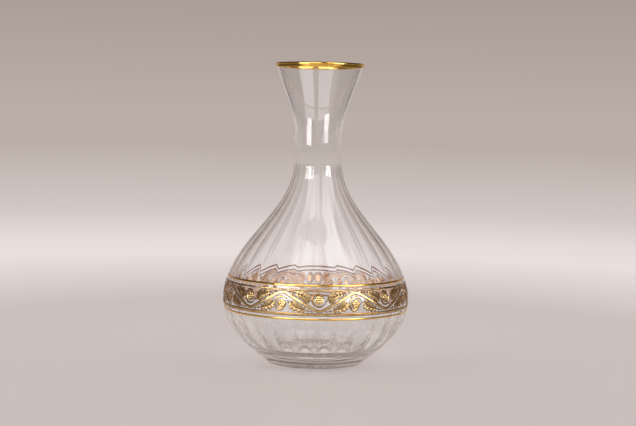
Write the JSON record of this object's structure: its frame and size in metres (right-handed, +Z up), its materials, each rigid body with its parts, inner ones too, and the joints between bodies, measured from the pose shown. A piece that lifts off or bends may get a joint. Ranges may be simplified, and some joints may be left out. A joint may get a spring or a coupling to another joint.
{
  "type": "glass carafe",
  "caption": "Round-bellied clear glass carafe with a slim neck, a flaring gilded lip, fluted inner walls and a gilt frieze of running scrolls.",
  "frame": {"origin": "centre of the foot, on the surface that the carafe stands on", "axes": "+Z up along the carafe's axis; -Y towards the side shown in the picture, with a high scroll of the frieze 2.3 degrees to its right"},
  "size_m": [0.1556, 0.1556, 0.25],
  "materials": {
    "clear_glass": "clear and polished",
    "bright_gold": "burnished fired gilding",
    "frieze_gold": "fired gilding in low relief"
  },
  "bodies": {
    "root": {"vessel": "clear_glass", "lip_gilding": "bright_gold", "upper_line": "bright_gold", "upper_border": "frieze_gold", "vine": "frieze_gold", "lower_border": "frieze_gold", "lower_line": "bright_gold", "high_scroll_1": "frieze_gold", "high_scroll_2": "frieze_gold", "high_scroll_3": "frieze_gold", "high_scroll_4": "frieze_gold", "high_scroll_5": "frieze_gold", "high_scroll_6": "frieze_gold", "high_scroll_7": "frieze_gold", "high_scroll_8": "frieze_gold", "leaf_after_high_scroll_1": "frieze_gold", "leaf_after_high_scroll_2": "frieze_gold", "leaf_after_high_scroll_3": "frieze_gold", "leaf_after_high_scroll_4": "frieze_gold", "leaf_after_high_scroll_5": "frieze_gold", "leaf_after_high_scroll_6": "frieze_gold", "leaf_after_high_scroll_7": "frieze_gold", "leaf_after_high_scroll_8": "frieze_gold", "leaf_after_low_scroll_1": "frieze_gold", "leaf_after_low_scroll_2": "frieze_gold", "leaf_after_low_scroll_3": "frieze_gold", "leaf_after_low_scroll_4": "frieze_gold", "leaf_after_low_scroll_5": "frieze_gold", "leaf_after_low_scroll_6": "frieze_gold", "leaf_after_low_scroll_7": "frieze_gold", "leaf_after_low_scroll_8": "frieze_gold", "leaf_behind_high_scroll_1": "frieze_gold", "leaf_behind_high_scroll_2": "frieze_gold", "leaf_behind_high_scroll_3": "frieze_gold", "leaf_behind_high_scroll_4": "frieze_gold", "leaf_behind_high_scroll_5": "frieze_gold", "leaf_behind_high_scroll_6": "frieze_gold", "leaf_behind_high_scroll_7": "frieze_gold", "leaf_behind_high_scroll_8": "frieze_gold", "leaf_behind_low_scroll_1": "frieze_gold", "leaf_behind_low_scroll_2": "frieze_gold", "leaf_behind_low_scroll_3": "frieze_gold", "leaf_behind_low_scroll_4": "frieze_gold", "leaf_behind_low_scroll_5": "frieze_gold", "leaf_behind_low_scroll_6": "frieze_gold", "leaf_behind_low_scroll_7": "frieze_gold", "leaf_behind_low_scroll_8": "frieze_gold", "low_scroll_1": "frieze_gold", "low_scroll_2": "frieze_gold", "low_scroll_3": "frieze_gold", "low_scroll_4": "frieze_gold", "low_scroll_5": "frieze_gold", "low_scroll_6": "frieze_gold", "low_scroll_7": "frieze_gold", "low_scroll_8": "frieze_gold"}
  },
  "joints": []
}
